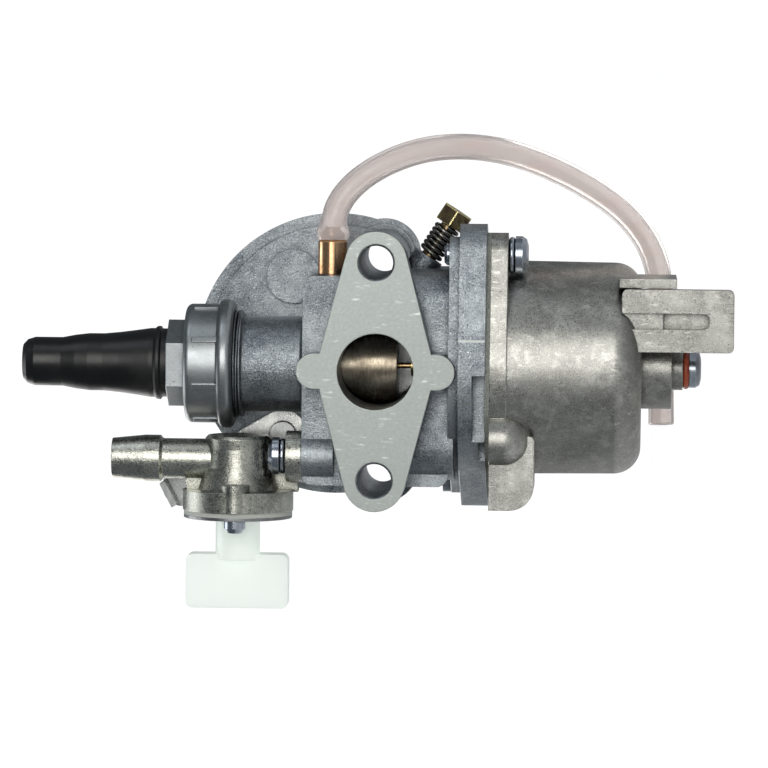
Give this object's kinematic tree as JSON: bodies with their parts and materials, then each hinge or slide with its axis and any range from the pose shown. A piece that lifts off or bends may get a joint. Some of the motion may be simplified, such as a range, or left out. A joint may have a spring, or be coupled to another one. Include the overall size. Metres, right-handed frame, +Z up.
{
  "type": "carburetor",
  "caption": "Slide carburetor with float bowl, petcock, choke lever, vent hose, and a two-hole engine flange for a small garden engine.",
  "frame": {"origin": "centre of the bore in the engine flange's face", "axes": "+Z up towards the throttle cap, -Y out of the engine flange, +Y towards the air cleaner, +X towards the vent hose"},
  "size_m": [0.0886, 0.0416, 0.1323],
  "materials": {
    "cast_alloy": "sand-cast and tumbled, satin",
    "bowl_alloy": "die-cast, satin with fine scratches",
    "cap_alloy": "die-cast, satin",
    "petcock_alloy": "cast, satin",
    "bowl_gasket_paper": "matte fibre",
    "zinc_screw": "bright zinc plate",
    "slide_metal": "satin",
    "brass_part": "bright turned",
    "spring_steel": "oiled",
    "gold_zinc": "yellow zinc plate",
    "boot_rubber": "glossy moulded",
    "hose_vinyl": "clear soft vinyl",
    "red_ring": "satin",
    "black_seal": "matte",
    "white_nylon": "translucent satin",
    "plate_steel": "dull plate",
    "choke_steel": "zinc plate",
    "float_plastic": "closed foam"
  },
  "bodies": {
    "casting": {"carburetor_body": "cast_alloy", "float_bowl": "bowl_alloy", "top_cap": "cap_alloy", "petcock_body": "petcock_alloy", "bowl_gasket": "bowl_gasket_paper", "cap_gasket": "bowl_gasket_paper", "bowl_screws": "zinc_screw", "bowl_screw_washers": "zinc_screw", "petcock_mount_screw": "zinc_screw", "petcock_mount_washer": "zinc_screw", "petcock_cover_screws": "zinc_screw", "drain_screw": "zinc_screw", "drain_o_ring": "red_ring", "adjuster_locknut": "zinc_screw", "cable_adjuster": "zinc_screw", "cable_boot": "boot_rubber", "vent_nipple": "brass_part", "vent_hose": "hose_vinyl", "needle_jet": "brass_part", "main_jet": "brass_part", "pilot_jet": "brass_part", "needle_seat": "brass_part", "float_hinge_pin": "spring_steel", "throttle_spring": "spring_steel", "idle_screw_spring": "spring_steel", "petcock_outlet_o_ring": "black_seal", "petcock_seal": "black_seal", "petcock_gasket_plate": "white_nylon", "petcock_retainer_plate": "plate_steel", "petcock_wave_washer": "plate_steel"},
    "slide": {"throttle_slide": "slide_metal", "jet_needle": "brass_part", "needle_clip": "spring_steel"},
    "idle_screw": {"idle_speed_screw": "gold_zinc"},
    "knob": {"petcock_knob": "white_nylon"},
    "float": {"float": "float_plastic"},
    "float_valve": {"float_needle": "brass_part"},
    "choke": {"choke_lever": "choke_steel", "choke_pin": "choke_steel", "choke_shutter": "choke_steel"}
  },
  "joints": [
    {"name": "throttle_lift", "type": "slide", "parent": "casting", "child": "slide", "axis": [0, 0, 1], "range_m": [0, 0.0104], "stiffness_N_per_m": 180, "springref_m": -0.03, "deforming": ["throttle_spring"]},
    {"name": "idle_screw_turn", "type": "hinge", "parent": "casting", "child": "idle_screw", "pos_m": [0.02895, 0.02, -0.0144], "axis": [0.8383, 0, -0.5452], "range_deg": [0, 720]},
    {"name": "petcock_turn", "type": "hinge", "parent": "casting", "child": "knob", "pos_m": [-0.03, 0.016, 0.0261], "axis": [1, 0, 0], "range_deg": [0, 90]},
    {"name": "float_swing", "type": "hinge", "parent": "casting", "child": "float", "pos_m": [-0.0146, 0.02, -0.023], "axis": [0, -1, 0], "range_deg": [0, 6]},
    {"name": "float_valve_lift", "type": "slide", "parent": "casting", "child": "float_valve", "axis": [0, 0, 1], "range_m": [0, 0.00045]},
    {"name": "choke_turn", "type": "hinge", "parent": "casting", "child": "choke", "pos_m": [-0.014, 0.0314, 0.0188], "axis": [0, -1, 0], "range_deg": [0, 42]}
  ],
  "couplings": [
    {"joint": "float_valve_lift", "follows": "float_swing", "m_per_rad": 0.0042}
  ]
}
